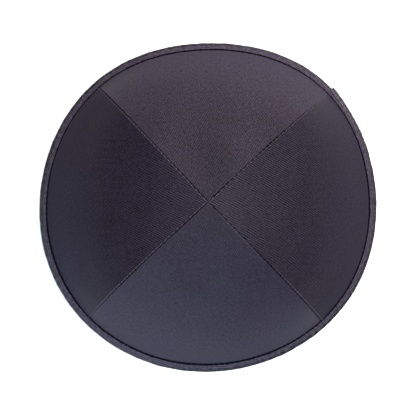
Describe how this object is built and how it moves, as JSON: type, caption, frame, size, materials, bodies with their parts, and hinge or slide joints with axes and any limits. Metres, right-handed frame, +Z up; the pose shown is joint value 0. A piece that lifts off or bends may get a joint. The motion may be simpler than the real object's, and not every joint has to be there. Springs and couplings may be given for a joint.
{
  "type": "kippah",
  "caption": "Shallow round cloth skullcap sewn from wedge-shaped gores, its rim bound in bias tape, worn on the crown of the head.",
  "frame": {"origin": "on the surface it rests on, under the middle of the rim", "axes": "+Z up through the crown, +X to the right and +Y to the back, as the picture shows it from above"},
  "size_m": [0.17, 0.166, 0.049],
  "materials": {
    "crown_twill": "matt cotton twill, dark grey with a purple cast",
    "binding_twill": "matt cotton bias tape, dark grey with a purple cast"
  },
  "bodies": {
    "root": {"panel_front": "crown_twill", "panel_right": "crown_twill", "panel_back": "crown_twill", "panel_left": "crown_twill", "rim_binding": "binding_twill"}
  },
  "joints": []
}
